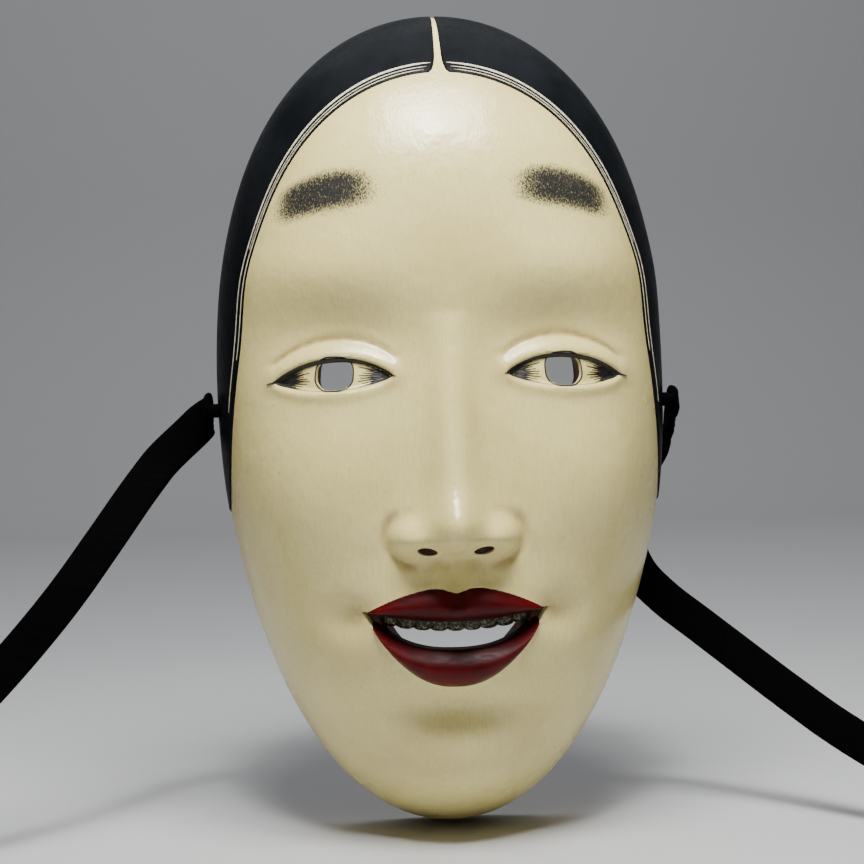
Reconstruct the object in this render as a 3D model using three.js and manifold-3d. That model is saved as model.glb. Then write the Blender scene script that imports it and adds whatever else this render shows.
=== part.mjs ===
// A carved wooden Noh mask of the young-woman type, with its two flat tying cords.
// Millimetres, +Z up. The face looks along -Y, and the flat back rim lies in the plane y = 0,
// with the origin in the middle of that rim. The wearer's left is +X.
//
// The mask is a thin cypress shell under thin coats: white gofun over the whole front, black
// hair paint on both sides of a parting, and red paint on the lips. Each coat is a closed solid
// that follows the carved face and keeps a small gap to the layer under it.

import * as THREE from 'three';
import { mergeVertices } from 'three/addons/utils/BufferGeometryUtils.js';
import Module from 'manifold-3d';

// ---------- driving dimensions ----------

const HEIGHT = 216; // top of the hair to the chin
const WIDTH = 121; // of the oval that the rim is drawn from; the rim itself is 119.3 across
const DOME_DEPTH = 48; // back rim to the front of the face, without the nose
const PLAN_POWER = 2.8; // how squarely the dome turns from the face into its sides
const DEPTH_POWER = 2.1; // how squarely the sides meet the rim
const EGG = 0.05; // how much fuller the forehead is than the chin
const FULLNESS = 0.02; // a slight squareness of the oval

const WALL = 7.5; // outside of the gofun to the hollow of the back
const GOFUN = 1.0; // the white coat
const GAP = 0.3; // clearance between layers that touch
const HAIR_LIFT = 0.5; // under the hair coat, which has facets of its own
const HAIR_COAT = 0.8;
const LIP_COAT = 0.6;
const COAT_SETBACK = 0.6; // the coats stop this far before the rim plane

const EYE_X = 28.5; // middle of an eye
const EYE_Z = 12;
const PUPIL = 8.8; // side of the rounded square hole
const PUPIL_CORNER = 3.2;
const NOSE_TIP_Z = -24;
const NOSTRIL_X = 6.6;
const NOSTRIL_Z = -31.5;
const NOSTRIL_WIDTH = 4.6;
const NOSTRIL_HEIGHT = 2.6;
const MOUTH_X = 23; // half of the slot between the lips
const MOUTH_TOP_Z = -48.6; // at the middle of the slot
const MOUTH_LOW_Z = -56.2;
const MOUTH_RISE = 2.4; // how far the corners turn up
const UPPER_LIP_X = 21.6; // half width of the paint on each lip
const LOWER_LIP_X = 20.2;
const UPPER_LIP_END = 20.6; // where the coat on each lip is cut off, just inside its painted corner
const LOWER_LIP_END = 18.6;
const UPPER_LIP_HEIGHT = 6.6;
const UPPER_LIP_DIP = 1.6; // in the middle of its bow
const LOWER_LIP_Z = -65.4; // the lowest point of the paint
const LIP_SETBACK = 0.2; // from the edge of the slot
const TEETH_X = 17;
const TEETH_DROP = 2.6;
const TEETH_HEAD = 0.25; // under the top of the slot, beyond the usual clearance
const TEETH_BACK_Y = -43.6;
const TEETH_THICK = 3.6;

const PARTING = 0.55; // half the bare strip between the two masses of hair, at the rim
const PARTING_SPREAD = 1.15; // its extra half width at the hairline
const PARTING_CORNER = 3.2; // the rounded corner of the hair beside it
const HAIR_BAND = 0.19; // the band of hair over the forehead, as a share of the radius
const HAIR_END = 1.8; // angle from the top at which the side hair runs out, in radians
const HAIR_TAPER = 0.5;
const HAIR_SIDE_END = 0.985 * HAIR_END; // a little short of the point where the band closes
const HAIR_RIM = 0.995; // share of the radius at which the hair stops before the rim

const CORD_HOLE = { y: -12, z: 4, radius: 3, length: 40 };
const CORD_WIDTH = 10;
const CORD_THICK = 1.6;
const CORD_TUBE = 4.4;
const STOP_KNOT = { x: 45.4, radius: 6, squash: 0.85 };
const STOP_NECK = { x: 53.3, radius: 2.5, length: 12.8 };
const END_KNOT = { x: 151, aside: 5, under: 1, radius: 5.6, stretch: 1.25, squash: 0.85 };
const TIE_WIDTH = 6;
const TIE_THICK = 0.6;
const GROUND_Z = -108; // the level that the chin and the free cords come down to

// ---------- colours ----------

const looks = {
  cypress: new THREE.MeshStandardMaterial({ color: 0x6b4a2e, roughness: 0.75, metalness: 0 }),
  gofun: new THREE.MeshStandardMaterial({ color: 0xe6dfbd, roughness: 0.35, metalness: 0 }),
  hair: new THREE.MeshStandardMaterial({ color: 0x15181a, roughness: 0.35, metalness: 0 }),
  lips: new THREE.MeshStandardMaterial({ color: 0x5c0c18, roughness: 0.4, metalness: 0 }),
  teeth: new THREE.MeshStandardMaterial({ color: 0x17130f, roughness: 0.45, metalness: 0 }),
  cord: new THREE.MeshStandardMaterial({ color: 0x0a0a0c, roughness: 0.9, metalness: 0 }),
};

const group = new THREE.Group();

function add(name, geometry, look) {
  const mesh = new THREE.Mesh(geometry, look);
  mesh.name = name;
  group.add(mesh);
  return mesh;
}

// ---------- solids ----------

const wasm = await Module();
wasm.setup();

function toSolid(geometry) {
  const bare = geometry.clone();
  bare.deleteAttribute('normal');
  bare.deleteAttribute('uv');
  const merged = mergeVertices(bare, 1e-4);
  const mesh = new wasm.Mesh({
    numProp: 3,
    vertProperties: new Float32Array(merged.attributes.position.array),
    triVerts: new Uint32Array(merged.index.array),
  });
  return new wasm.Manifold(mesh);
}

function toGeometry(solid) {
  const mesh = solid.getMesh();
  const geometry = new THREE.BufferGeometry();
  geometry.setAttribute('position', new THREE.BufferAttribute(mesh.vertProperties, 3));
  geometry.setIndex(new THREE.BufferAttribute(mesh.triVerts, 1));
  return geometry;
}

// A prism along Y, from an outline drawn as the face is seen, x to the right and z up.
function prism(outline, frontY, backY, curveSegments = 6) {
  const options = { depth: backY - frontY, bevelEnabled: false, curveSegments };
  const geometry = new THREE.ExtrudeGeometry(outline, options);
  geometry.rotateX(Math.PI / 2);
  geometry.translate(0, backY, 0);
  return geometry;
}

// ---------- the face ----------

const bump = (x, z, cx, cz, wx, wz) => Math.exp(-(((x - cx) / wx) ** 2) - ((z - cz) / wz) ** 2);

const ramp = (from, to, value) => THREE.MathUtils.smoothstep((value - from) / (to - from), 0, 1);

// The rim, seen from the front: a point and the outward normal at an angle from the top.
function rim(angle) {
  const sum = Math.sin(angle) + EGG * Math.sin(2 * angle) + FULLNESS * Math.sin(3 * angle);
  const slope = Math.cos(angle) + 2 * EGG * Math.cos(2 * angle) + 3 * FULLNESS * Math.cos(3 * angle);
  const x = (WIDTH / 2) * sum;
  const z = (HEIGHT / 2) * Math.cos(angle);
  const normal = new THREE.Vector2((HEIGHT / 2) * Math.sin(angle), (WIDTH / 2) * slope);
  return { x, z, normal };
}

// A point of the plain dome and its outward direction. share is 0 at the middle, 1 at the rim.
function dome(share, angle) {
  const turn = (Math.PI / 2) * share ** (PLAN_POWER / 2);
  const radius = Math.sin(turn) ** (2 / PLAN_POWER);
  const depth = Math.max(0, Math.cos(turn)) ** (2 / DEPTH_POWER);
  const edge = rim(angle);
  const across = edge.normal.x * edge.x + edge.normal.y * edge.z;
  const sideways = (PLAN_POWER * radius ** (PLAN_POWER - 1)) / across;
  const out = new THREE.Vector3(
    sideways * edge.normal.x,
    (-DEPTH_POWER * depth ** (DEPTH_POWER - 1)) / DOME_DEPTH,
    sideways * edge.normal.y,
  ).normalize();
  return { place: new THREE.Vector3(radius * edge.x, -DOME_DEPTH * depth, radius * edge.z), out };
}

function nose(x, z) {
  const side = Math.abs(x);
  const down = THREE.MathUtils.clamp((27 - z) / (27 - NOSE_TIP_Z), 0, 1);
  const under = 1 - ramp(-27.5, -33.2, z);
  const flank = 4.6 * down ** 1.1 * under * Math.exp(-((x / 11.5) ** 2));
  const ridge = 9 * down * under * Math.exp(-((side / (4.2 + 1.9 * down)) ** 2.4));
  const tip = 3.2 * bump(x, z, 0, NOSE_TIP_Z, 7, 5.8);
  const wings = 4.8 * bump(side, z, 10.2, -28, 4.5, 4.2);
  return flank + ridge + tip + wings;
}

function eye(x, z) {
  const side = Math.abs(x);
  return -5.2 * bump(side, z, 26, 17.5, 19, 11.5) + 4.2 * bump(side, z, EYE_X, EYE_Z + 1.2, 13.5, 7.6);
}

function mouth(x, z) {
  const side = Math.abs(x);
  const muzzle = 4 * bump(x, z, 0, -50, 24, 17);
  const upper = 2 * bump(x, z, 0, -44.5, 16, 3);
  const lower = 3 * bump(x, z, 0, -60.8, 15, 3.6);
  const corners = -2.2 * bump(side, z, 25.5, -47.5, 5.5, 4.5);
  const underLip = -3 * bump(x, z, 0, -71.5, 14, 4.6);
  return muzzle + upper + lower + corners + underLip;
}

function face(x, z) {
  const side = Math.abs(x);
  const forehead = 2.6 * bump(x, z, 0, 58, 36, 26);
  const brows = 1.6 * bump(side, z, 30, 37, 20, 9);
  const cheeks = 5.2 * bump(side, z, 33, -17, 17, 21);
  const jowls = 1.6 * bump(side, z, 27, -58, 13, 16);
  const chin = 5.6 * bump(x, z, 0, -86, 17, 12);
  return forehead + brows + cheeks + jowls + chin + nose(x, z) + eye(x, z) + mouth(x, z);
}

// The hollow of the back follows the face loosely, deeper behind the nose.
function hollow(x, z) {
  const behindNose = 7 * bump(x, z, 0, -20, 11, 16);
  const behindChin = 2.5 * bump(x, z, 0, -82, 18, 12);
  return behindNose + behindChin + 2 * bump(Math.abs(x), z, 32, -20, 20, 22);
}

// A point above or under the carved face, on the way out of the dome.
function skin(share, angle, offset, relief = face) {
  const { place, out } = dome(share, angle);
  const calm = 1 - ramp(0.86, 1, share);
  return place.clone().addScaledVector(out, offset + calm * relief(place.x, place.z));
}

// ---------- closed sheets over the face ----------

const COLUMNS = 26;
const ROWS = 40;

// Turns a square grid into the disc of the face, evenly and without a pole.
function gridPlace(column, row) {
  const u = (2 * column) / COLUMNS - 1;
  const v = (2 * row) / ROWS - 1;
  const across = u * Math.sqrt(1 - (v * v) / 2);
  const up = v * Math.sqrt(1 - (u * u) / 2);
  return { share: Math.min(1, Math.hypot(across, up)), angle: Math.atan2(across, up) };
}

// A closed sheet between two point functions of (i, j), front and back, on a grid.
function sheet(columns, rows, front, back, mirrorDiagonals) {
  const count = (columns + 1) * (rows + 1);
  const positions = new Float32Array(6 * count);
  const at = (i, j) => j * (columns + 1) + i;
  for (let j = 0; j <= rows; j += 1) {
    for (let i = 0; i <= columns; i += 1) {
      front(i, j).toArray(positions, 3 * at(i, j));
      back(i, j).toArray(positions, 3 * (count + at(i, j)));
    }
  }
  const index = [];
  for (let j = 0; j < rows; j += 1) {
    for (let i = 0; i < columns; i += 1) {
      const [a, b, c, d] = [at(i, j), at(i + 1, j), at(i + 1, j + 1), at(i, j + 1)];
      const rising = mirrorDiagonals && (i + 0.5 - columns / 2) * (j + 0.5 - rows / 2) < 0;
      const corners = rising ? [a, b, d, b, c, d] : [a, b, c, a, c, d];
      index.push(...corners);
      for (const k of corners.toReversed()) index.push(k + count);
    }
  }
  const loop = [];
  for (let i = 0; i < columns; i += 1) loop.push(at(i, 0));
  for (let j = 0; j < rows; j += 1) loop.push(at(columns, j));
  for (let i = columns; i > 0; i -= 1) loop.push(at(i, rows));
  for (let j = rows; j > 0; j -= 1) loop.push(at(0, j));
  loop.forEach((a, k) => {
    const b = loop[(k + 1) % loop.length];
    index.push(b, a, a + count, b, a + count, b + count);
  });
  const geometry = new THREE.BufferGeometry();
  geometry.setAttribute('position', new THREE.BufferAttribute(positions, 3));
  geometry.setIndex(index);
  return geometry;
}

// A layer over the whole front, between two offsets, that stops at the height rimY.
function layer(outer, inner, rimY, innerRelief = face) {
  const surface = (offset, relief) => (i, j) => {
    const { share, angle } = gridPlace(i, j);
    const point = skin(share, angle, offset, relief);
    point.y = share > 1 - 1e-6 ? rimY : Math.min(point.y, rimY - 0.4);
    return point;
  };
  return sheet(COLUMNS, ROWS, surface(outer, face), surface(inner, innerRelief), true);
}

// ---------- openings through the mask ----------

function roundedSquare(cx, cz, side, corner) {
  const half = side / 2;
  const outline = new THREE.Shape();
  outline.moveTo(cx - half + corner, cz - half);
  outline.lineTo(cx + half - corner, cz - half);
  outline.absarc(cx + half - corner, cz - half + corner, corner, -Math.PI / 2, 0);
  outline.absarc(cx + half - corner, cz + half - corner, corner, 0, Math.PI / 2);
  outline.absarc(cx - half + corner, cz + half - corner, corner, Math.PI / 2, Math.PI);
  outline.absarc(cx - half + corner, cz - half + corner, corner, Math.PI, 1.5 * Math.PI);
  return outline;
}

const mouthTop = (x) => MOUTH_TOP_Z + MOUTH_RISE * (x / MOUTH_X) ** 2;

const mouthLow = (x) =>
  MOUTH_LOW_Z + (MOUTH_TOP_Z + MOUTH_RISE - MOUTH_LOW_Z) * Math.abs(x / MOUTH_X) ** 2.6;

// An outline between two curves of x, from one x to another.
function between(from, to, low, high, steps) {
  const xs = Array.from({ length: steps + 1 }, (_, k) => from + ((to - from) * k) / steps);
  const points = [
    ...xs.map((x) => new THREE.Vector2(x, low(x))),
    ...xs.toReversed().map((x) => new THREE.Vector2(x, high(x))),
  ];
  return new THREE.Shape(points);
}

function ellipse(cx, cz, width, height) {
  const outline = new THREE.Shape();
  outline.absellipse(cx, cz, width / 2, height / 2, 0, 2 * Math.PI);
  return outline;
}

const FRONT_Y = -90;
const BEHIND_Y = 10;
const MOUTH_END = MOUTH_X - 0.6;

const faceOpenings = [
  prism(between(-MOUTH_END, MOUTH_END, mouthLow, mouthTop, 16), FRONT_Y, BEHIND_Y),
  ...[-1, 1].flatMap((side) => [
    prism(roundedSquare(side * EYE_X, EYE_Z, PUPIL, PUPIL_CORNER), FRONT_Y, BEHIND_Y, 3),
    prism(ellipse(side * NOSTRIL_X, NOSTRIL_Z, NOSTRIL_WIDTH, NOSTRIL_HEIGHT), FRONT_Y, BEHIND_Y, 4),
  ]),
].map(toSolid);

function cordHole(side) {
  const geometry = new THREE.CylinderGeometry(CORD_HOLE.radius, CORD_HOLE.radius, CORD_HOLE.length, 12);
  geometry.rotateZ(Math.PI / 2);
  geometry.translate(side * (WIDTH / 2), CORD_HOLE.y, CORD_HOLE.z);
  return toSolid(geometry);
}

const cordHoles = [-1, 1].map(cordHole);

function pierced(geometry, cutters) {
  return cutters.reduce((solid, cutter) => solid.subtract(cutter), toSolid(geometry));
}

// ---------- shell and coats ----------

const shell = layer(-GOFUN - GAP, -WALL, 0, hollow);
add('wooden_shell', toGeometry(pierced(shell, [...faceOpenings, ...cordHoles])), looks.cypress);

const gofun = layer(0, -GOFUN, -COAT_SETBACK);
add('gofun_coat', toGeometry(pierced(gofun, [...faceOpenings, ...cordHoles])), looks.gofun);

// Hair: a band from the hairline to the rim, wide over the forehead, running out at the side.
const hairline = (angle) => 1 - HAIR_BAND * Math.cos((Math.PI / 2) * (angle / HAIR_END)) ** HAIR_TAPER;

function shareOf(radius) {
  return (Math.asin(radius ** (PLAN_POWER / 2)) / (Math.PI / 2)) ** (2 / PLAN_POWER);
}

function hairCoat(side) {
  const along = 36;
  const across = 7;
  const surface = (offset) => (i, j) => {
    const k = side > 0 ? i : along - i;
    const low = shareOf(hairline(HAIR_SIDE_END * (k / along)));
    const share = low + (HAIR_RIM - low) * (j / across);
    const inward = 1 - j / across;
    const bare = PARTING + PARTING_SPREAD * inward ** 1.5 + (j === 0 ? PARTING_CORNER : 0);
    const start = bare / (HEIGHT / 2);
    const angle = start + (HAIR_SIDE_END - start) * (k / along);
    const point = skin(share, side * angle, offset);
    point.y = Math.min(point.y, -COAT_SETBACK - 0.4);
    return point;
  };
  return sheet(along, across, surface(HAIR_LIFT + HAIR_COAT), surface(HAIR_LIFT), false);
}

[['right', -1], ['left', 1]].forEach(([name, side], k) => {
  add(`hair_coat_${name}`, toGeometry(pierced(hairCoat(side), [cordHoles[k]])), looks.hair);
});

// Lips: patches of one thin coat, cut out by the outline of each lip.
const upperLipTop = (x) => {
  const u = Math.min(1, Math.abs(x) / UPPER_LIP_X);
  const bow = UPPER_LIP_HEIGHT * (1 - u * u) ** 0.95 - UPPER_LIP_DIP * Math.exp(-((x / 3) ** 2));
  return mouthTop(UPPER_LIP_X) + bow;
};
const lowerLipLow = (x) => {
  const corner = mouthLow(LOWER_LIP_X);
  return corner - (corner - LOWER_LIP_Z) * (1 - Math.min(1, Math.abs(x) / LOWER_LIP_X) ** 2.2);
};
const lipCoat = toSolid(layer(GAP + LIP_COAT, GAP, -COAT_SETBACK));

function lip(end, low, high) {
  const cutter = toSolid(prism(between(-end, end, low, high, 14), FRONT_Y, 0));
  return toGeometry(lipCoat.intersect(cutter));
}

const upperLipLow = (x) => mouthTop(x) + LIP_SETBACK;
const lowerLipTop = (x) => mouthLow(x) - LIP_SETBACK;
add('upper_lip_coat', lip(UPPER_LIP_END, upperLipLow, upperLipTop), looks.lips);
add('lower_lip_coat', lip(LOWER_LIP_END, lowerLipLow, lowerLipTop), looks.lips);

// Teeth: a blackened row under the upper lip, in the top of the mouth slot.
const teethOutline = between(
  -TEETH_X,
  TEETH_X,
  (x) => mouthTop(x) - GAP - TEETH_DROP,
  (x) => mouthTop(x) - GAP - TEETH_HEAD,
  14,
);
add('upper_teeth', prism(teethOutline, TEETH_BACK_Y - TEETH_THICK, TEETH_BACK_Y), looks.teeth);

// ---------- cords ----------

// Each cord is one flat braid: a stop knot inside the shell, a free stretch that leaves the side
// hole and comes down beside the mask, and a hank that holds the rest of its length.

const HANK = { x: 202, y: -22, reach: 62, waist: 4, belly: 36, turn: 3.6, turns: 1.5 };
const HANK_LOW = GROUND_Z + 1;
const HANK_MIDDLE_Z = HANK_LOW + CORD_WIDTH / 2;

const freeRoutes = {
  right: [
    [-61.6, -12, 4], [-63.6, -10.6, 4], [-64.3, -7.4, 3.4], [-66.8, -4.8, 1], [-73, -6.4, -6.4],
    [-80.6, -12, -16.6], [-89, -19.4, -29], [-98, -26, -41.8], [-108, -30.5, -54],
    [-120, -36, -67], [-133, -41.5, -79.5], [-148, -47, -91], [-165, -51, -98.7],
    [-184, -53.6, -101.7], [-205, -55, -102], [-228, -54.4, -102], [-250, -50, -102],
  ],
  left: [
    [61.6, -12, 4], [63.5, -10.5, 3.4], [64.3, -7, 1.4], [64.4, -2.4, -1.8], [62.9, 1.6, -4.8],
    [59, 3.2, -8.8], [54.9, 3.4, -14.6], [52.2, 3.4, -21.4], [51, 3.4, -29], [51.2, 3.4, -36.4],
    [54.2, 3.2, -43.6], [60.6, 2.2, -50.6], [69.4, -0.8, -57.8], [79.4, -6, -66],
    [90.4, -13.2, -75], [102.4, -22.4, -84.2], [115.4, -32.4, -92], [130, -42, -97.6],
    [146, -49.6, -100.8], [163, -53.8, -102], [184, -55.4, -102], [206, -55.8, -102],
    [229, -54.6, -102], [250, -50, -102],
  ],
};

// The free stretch is a round tube with about the cross-section of the flat braid.
function freeStretch(points) {
  const path = new THREE.CatmullRomCurve3(points.map((p) => new THREE.Vector3(...p)));
  const section = new THREE.Shape();
  section.absarc(0, 0, CORD_TUBE / 2, 0, 2 * Math.PI);
  const options = { steps: 3 * points.length, extrudePath: path, curveSegments: 4 };
  return new THREE.ExtrudeGeometry(section, options);
}

// One side of the bow that the braid is folded into, offset outward or inward by grow.
function bowPoint(side, turn, grow) {
  const width = HANK.waist + grow + HANK.belly * Math.cos(turn) ** 2;
  return new THREE.Vector2(
    side * HANK.x + (HANK.reach + grow) * Math.cos(turn),
    HANK.y + width * Math.sin(turn),
  );
}

// The hank seen from above: the turns of the bow, drawn in by its tie, with an open loop at each end.
function hank(side) {
  const grow = HANK.turn * HANK.turns + CORD_THICK / 2;
  const outline = new THREE.Shape(
    Array.from({ length: 40 }, (_, k) => bowPoint(side, (2 * Math.PI * k) / 40, grow)),
  );
  for (const middle of [0, Math.PI]) {
    const loop = Array.from({ length: 17 }, (_, k) => bowPoint(side, middle + (k - 8) * 0.145, -1));
    outline.holes.push(new THREE.Path(loop));
  }
  const geometry = new THREE.ExtrudeGeometry(outline, { depth: CORD_WIDTH, bevelEnabled: false });
  geometry.translate(0, 0, HANK_LOW);
  return geometry;
}

// A narrow tape wound around the waist of the hank.
function hankTie(side) {
  const inner = [HANK.waist + HANK.turn * HANK.turns + CORD_THICK / 2 + GAP, CORD_WIDTH / 2 + GAP];
  const ring = (thick) => [
    new THREE.Vector2(-inner[0] - thick, -inner[1] - thick),
    new THREE.Vector2(inner[0] + thick, -inner[1] - thick),
    new THREE.Vector2(inner[0] + thick, inner[1] + thick),
    new THREE.Vector2(-inner[0] - thick, inner[1] + thick),
  ];
  const outline = new THREE.Shape(ring(TIE_THICK));
  outline.holes.push(new THREE.Path(ring(0)));
  const geometry = new THREE.ExtrudeGeometry(outline, { depth: TIE_WIDTH, bevelEnabled: false });
  geometry.rotateX(Math.PI / 2);
  geometry.rotateZ(Math.PI / 2);
  geometry.translate(side * HANK.x - TIE_WIDTH / 2, HANK.y, HANK_MIDDLE_Z);
  return geometry;
}

// The knot that keeps the cord from slipping out, with its neck in the hole.
function stopKnot(side) {
  const ball = new THREE.SphereGeometry(STOP_KNOT.radius, 14, 10);
  ball.scale(STOP_KNOT.squash, 1, 1);
  ball.translate(side * STOP_KNOT.x, CORD_HOLE.y, CORD_HOLE.z);
  const neck = new THREE.CylinderGeometry(STOP_NECK.radius, STOP_NECK.radius, STOP_NECK.length, 10);
  neck.rotateZ(Math.PI / 2);
  neck.translate(side * STOP_NECK.x, CORD_HOLE.y, CORD_HOLE.z);
  return toGeometry(toSolid(ball).add(toSolid(neck)));
}

// The knot at the cord's far end, which lies in the hank's loop next to the mask.
function endKnot(side) {
  const ball = new THREE.SphereGeometry(END_KNOT.radius, 12, 8);
  ball.scale(END_KNOT.stretch, 1, END_KNOT.squash);
  ball.translate(side * END_KNOT.x, HANK.y + END_KNOT.aside, HANK_MIDDLE_Z - END_KNOT.under);
  return ball;
}

[['right', -1], ['left', 1]].forEach(([name, side]) => {
  add(`cord_${name}_stop_knot`, stopKnot(side), looks.cord);
  add(`cord_${name}`, freeStretch(freeRoutes[name]), looks.cord);
  add(`cord_${name}_hank`, hank(side), looks.cord);
  add(`cord_${name}_hank_tie`, hankTie(side), looks.cord);
  add(`cord_${name}_end_knot`, endKnot(side), looks.cord);
});

export default group;
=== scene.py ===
"""The looks of a carved wooden Noh mask of the young-woman type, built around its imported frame.

Lengths of the mask and its cords are millimetres, as in the part, and become metres when a
mesh is made. The face looks along -Y, and its flat back rim lies in the plane y = 0.
"""

import math

import bmesh
import bpy
import numpy as np
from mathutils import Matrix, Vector


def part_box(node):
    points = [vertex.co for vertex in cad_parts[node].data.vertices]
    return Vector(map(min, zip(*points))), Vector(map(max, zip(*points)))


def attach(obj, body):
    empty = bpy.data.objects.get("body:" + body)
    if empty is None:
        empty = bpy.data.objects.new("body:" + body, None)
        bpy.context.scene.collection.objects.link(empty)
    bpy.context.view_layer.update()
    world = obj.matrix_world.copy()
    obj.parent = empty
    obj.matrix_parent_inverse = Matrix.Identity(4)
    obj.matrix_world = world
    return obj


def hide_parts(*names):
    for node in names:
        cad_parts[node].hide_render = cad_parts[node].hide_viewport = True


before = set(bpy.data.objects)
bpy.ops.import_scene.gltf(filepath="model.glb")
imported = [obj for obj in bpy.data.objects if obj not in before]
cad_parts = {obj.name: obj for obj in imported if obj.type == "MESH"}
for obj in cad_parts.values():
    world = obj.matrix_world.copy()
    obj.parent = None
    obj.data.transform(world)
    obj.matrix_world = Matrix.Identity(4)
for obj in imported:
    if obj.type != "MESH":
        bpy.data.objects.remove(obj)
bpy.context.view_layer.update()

MM = 0.001

# ---------- the mask's driving sizes, as in the part ----------

coat_low, coat_high = (np.array(c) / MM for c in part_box("gofun_coat"))
FULLEST = 0.986  # the rim formula's largest value
HEIGHT = coat_high[2] - coat_low[2]
WIDTH = (coat_high[0] - coat_low[0]) / FULLEST
DOME_DEPTH = 48.0
PLAN_POWER = 2.8
DEPTH_POWER = 2.1
EGG = 0.05
SQUARENESS = 0.02

GOFUN = 1.0
WALL = 7.5
SETBACK = 0.6
COAT_GAP = 0.3  # between the coat and the wood

EYE_X, EYE_Z = 28.5, 12.0
EYE_HALF = 14.5
PUPIL_WIDTH, PUPIL_HEIGHT, PUPIL_CORNER = 8.8, 8.0, 3.3
NOSE_ROOT_Z, NOSE_TIP_Z = 27.0, -24.0
WING_X, WING_Z = 10.2, -28.0
NOSTRIL_X, NOSTRIL_Z = 6.6, -31.5
NOSTRIL_HALF_X, NOSTRIL_HALF_Z, NOSTRIL_RISE = 2.4, 1.35, 15.0
MOUTH_X = 23.0
MOUTH_TOP_Z, MOUTH_LOW_Z, MOUTH_RISE = -48.6, -56.2, 2.4
UPPER_LIP_X, LOWER_LIP_X = 21.6, 20.2
UPPER_LIP_HEIGHT, UPPER_LIP_DIP, LOWER_LIP_Z = 6.6, 1.6, -65.4

PARTING, PARTING_SPREAD, PARTING_CORNER = 0.55, 1.15, 3.2
HAIR_BAND, HAIR_END, HAIR_TAPER = 0.19, 1.8, 0.5

CORD_HOLE_Y, CORD_HOLE_Z, CORD_HOLE_RADIUS = -12.0, 4.0, 3.0
CORD_HOLE_X = (38.0, 80.0)  # the drill goes from here to there
CORD_WIDTH, CORD_THICK = 10.0, 1.6
GROUND_Z = -108.0
LYING_Z = -102.0  # the middle of a cord that lies on its edge


# ---------- the carved face ----------

def bump(x, z, cx, cz, wx, wz):
    return np.exp(-(((x - cx) / wx) ** 2) - ((z - cz) / wz) ** 2)


def ramp(low, high, value):
    t = np.clip((value - low) / (high - low), 0, 1)
    return t * t * (3 - 2 * t)


def rim(angle):
    """The rim seen from the front, at an angle from the top: x, z and the outward normal."""
    x = WIDTH / 2 * (np.sin(angle) + EGG * np.sin(2 * angle) + SQUARENESS * np.sin(3 * angle))
    z = HEIGHT / 2 * np.cos(angle)
    slope = np.cos(angle) + 2 * EGG * np.cos(2 * angle) + 3 * SQUARENESS * np.cos(3 * angle)
    return x, z, HEIGHT / 2 * np.sin(angle), WIDTH / 2 * slope


TURNS = np.linspace(-math.pi, math.pi, 7201)
RIM_X, RIM_Z = rim(TURNS)[:2]
RIM_BEARING = np.unwrap(np.arctan2(RIM_X, RIM_Z))


def radius_of(share):
    return np.sin(math.pi / 2 * share ** (PLAN_POWER / 2)) ** (2 / PLAN_POWER)


def share_of(radius):
    return (np.arcsin(np.clip(radius, 0, 1) ** (PLAN_POWER / 2)) / (math.pi / 2)) ** (2 / PLAN_POWER)


def polar(x, z):
    """Where a point of the plan lies: its radius as a share of the rim's, and the rim's angle."""
    angle = np.interp(np.arctan2(x, z), RIM_BEARING, TURNS)
    edge_x, edge_z = rim(angle)[:2]
    return np.hypot(x, z) / np.hypot(edge_x, edge_z), angle


def upper_lid(u):
    """The edge of the upper lid over the eye's middle, u from -1 at the nose to 1 at the temple."""
    return -1.0 + 5.2 * np.clip(1 - u * u, 0, 1) ** 0.85 - 0.5 * u


def lower_lid(u):
    return -1.0 - 3.2 * np.clip(1 - u * u, 0, 1) ** 0.75 - 0.5 * u


def mouth_top(x):
    return MOUTH_TOP_Z + MOUTH_RISE * (x / MOUTH_X) ** 2


def mouth_low(x):
    corner = MOUTH_TOP_Z + MOUTH_RISE
    return MOUTH_LOW_Z + (corner - MOUTH_LOW_Z) * np.abs(x / MOUTH_X) ** 2.6


def upper_lip_edge(x):
    u = np.clip(np.abs(x) / UPPER_LIP_X, 0, 1)
    arch = UPPER_LIP_HEIGHT * (1 - u * u) ** 0.95
    return mouth_top(UPPER_LIP_X) + arch - UPPER_LIP_DIP * np.exp(-((x / 3.0) ** 2))


def lower_lip_edge(x):
    u = np.clip(np.abs(x) / LOWER_LIP_X, 0, 1)
    corner = mouth_low(LOWER_LIP_X)
    return corner - (corner - LOWER_LIP_Z) * (1 - u ** 2.2)


def wing_distance(x, z):
    """How far a point lies from the middle of the nose's wing on its side."""
    return np.hypot(np.abs(x) - WING_X, z - WING_Z)


def nose(x, z):
    side = np.abs(x)
    down = np.clip((NOSE_ROOT_Z - z) / (NOSE_ROOT_Z - NOSE_TIP_Z), 0, 1)
    under = 1 - ramp(-27.5, -33.2, z)
    flank = 4.6 * down ** 1.1 * under * np.exp(-((side / 11.5) ** 2))
    ridge = 9.0 * down * under * np.exp(-((side / (4.2 + 1.9 * down)) ** 2.4))
    tip = 3.2 * bump(x, z, 0, NOSE_TIP_Z, 7.0, 5.8)
    wings = 4.8 * bump(side, z, WING_X, WING_Z, 4.5, 4.2)
    outside = ramp(10.0, 15.0, side - 0.35 * (z - WING_Z))
    crease = -1.4 * np.exp(-(((wing_distance(x, z) - 6.2) / 1.4) ** 2)) * outside
    return flank + ridge + tip + wings + crease


def lid_distance(x, z):
    """How far a point lies over the upper lid and under the lower one, and its place along them."""
    u, v = (np.abs(x) - EYE_X) / EYE_HALF, z - EYE_Z
    return v - upper_lid(u), lower_lid(u) - v, u


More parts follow.
